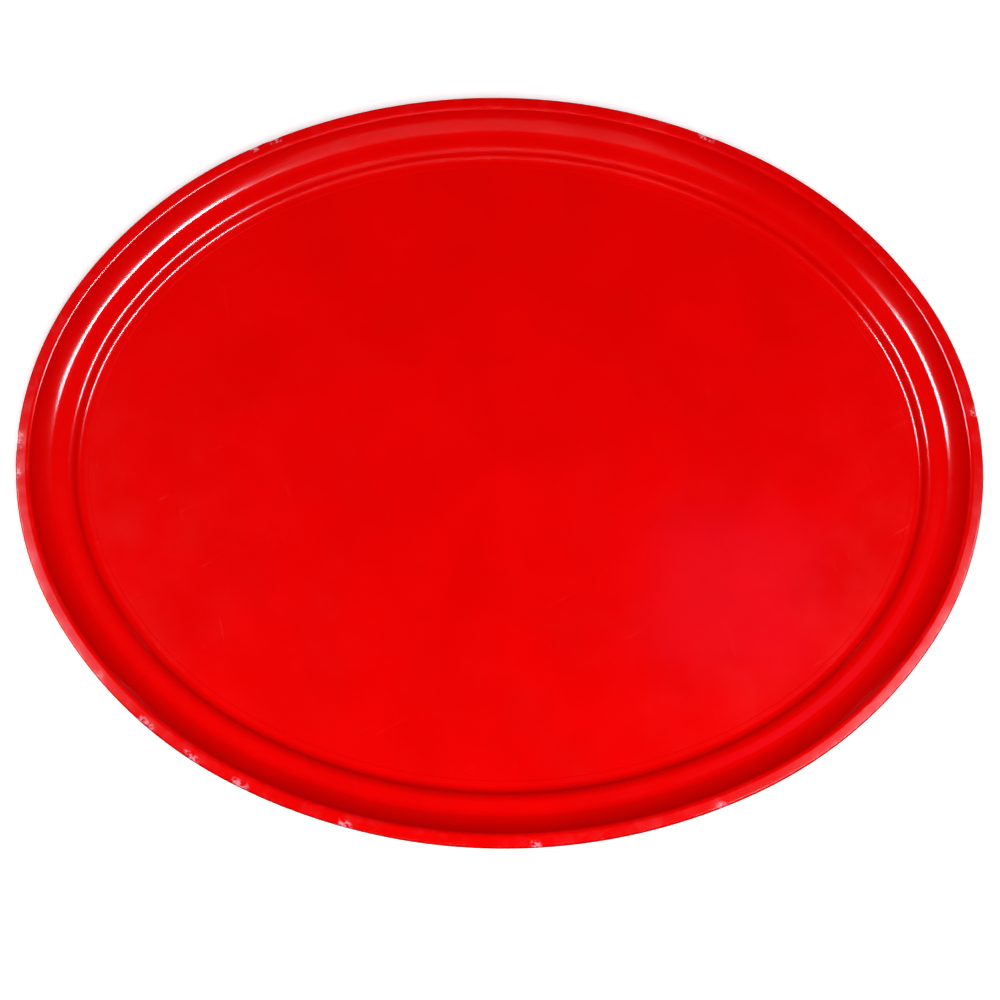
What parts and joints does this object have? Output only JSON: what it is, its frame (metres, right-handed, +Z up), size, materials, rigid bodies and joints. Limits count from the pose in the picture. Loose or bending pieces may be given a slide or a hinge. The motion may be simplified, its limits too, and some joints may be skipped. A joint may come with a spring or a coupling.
{
  "type": "serving tray",
  "caption": "Large oval red serving tray with a flat lip, a stepped and rounded wall, and a wide flat floor.",
  "frame": {"origin": "on the surface that the tray stands on, under the middle of the floor", "axes": "+X along the tray's length, +Y across it, +Z up, out of the open side"},
  "size_m": [0.6828, 0.5588, 0.021],
  "materials": {
    "gloss_surface": "gloss",
    "laminate": "as moulded",
    "wire": "drawn",
    "base_surface": "satin"
  },
  "bodies": {
    "root": {"top_overlay": "gloss_surface", "upper_laminate": "laminate", "rim_wire": "wire", "lower_laminate": "laminate", "base_overlay": "base_surface"}
  },
  "joints": []
}
